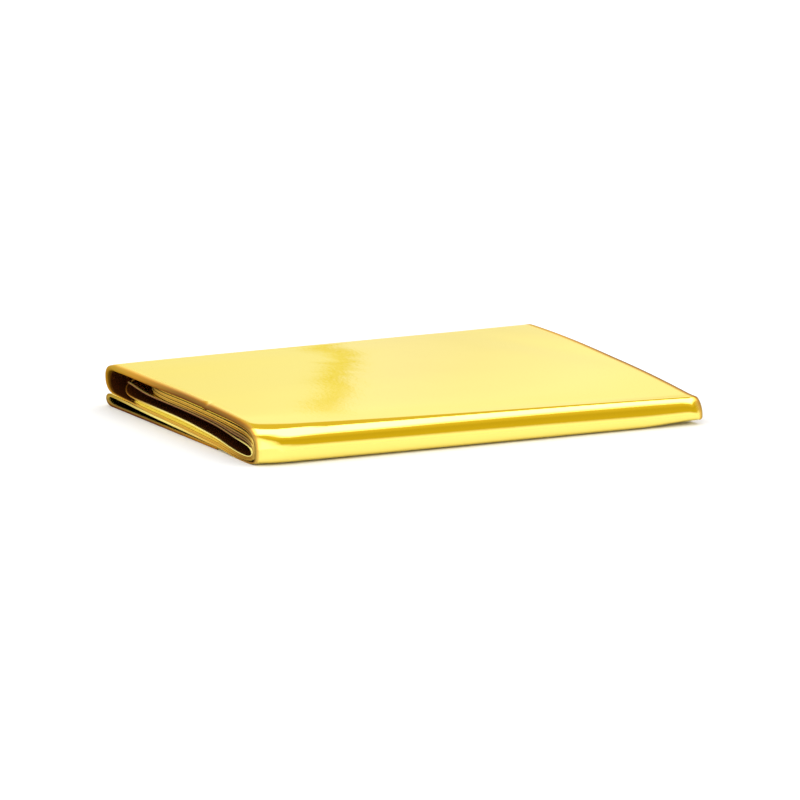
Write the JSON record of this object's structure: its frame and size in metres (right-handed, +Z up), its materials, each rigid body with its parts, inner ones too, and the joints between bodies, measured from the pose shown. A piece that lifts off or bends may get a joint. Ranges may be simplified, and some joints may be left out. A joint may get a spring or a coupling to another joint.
{
  "type": "folded emergency foil blanket",
  "caption": "Gold metallised film blanket folded over and over into a flat pocket-size packet, folded edges at front and back, open layered ends left and right.",
  "frame": {"origin": "centre of the resting face, under the middle of the folded packet", "axes": "+X along the packet's long folded edges, +Y from the rounded front fold to the two back folds, +Z up out of the top skin"},
  "size_m": [0.1314, 0.1001, 0.0127],
  "materials": {
    "gold_film": "thin polyester film, vacuum metallised and tinted gold, mirror bright with a fine crinkle"
  },
  "bodies": {
    "root": {"foil_blanket": "gold_film"}
  },
  "joints": []
}
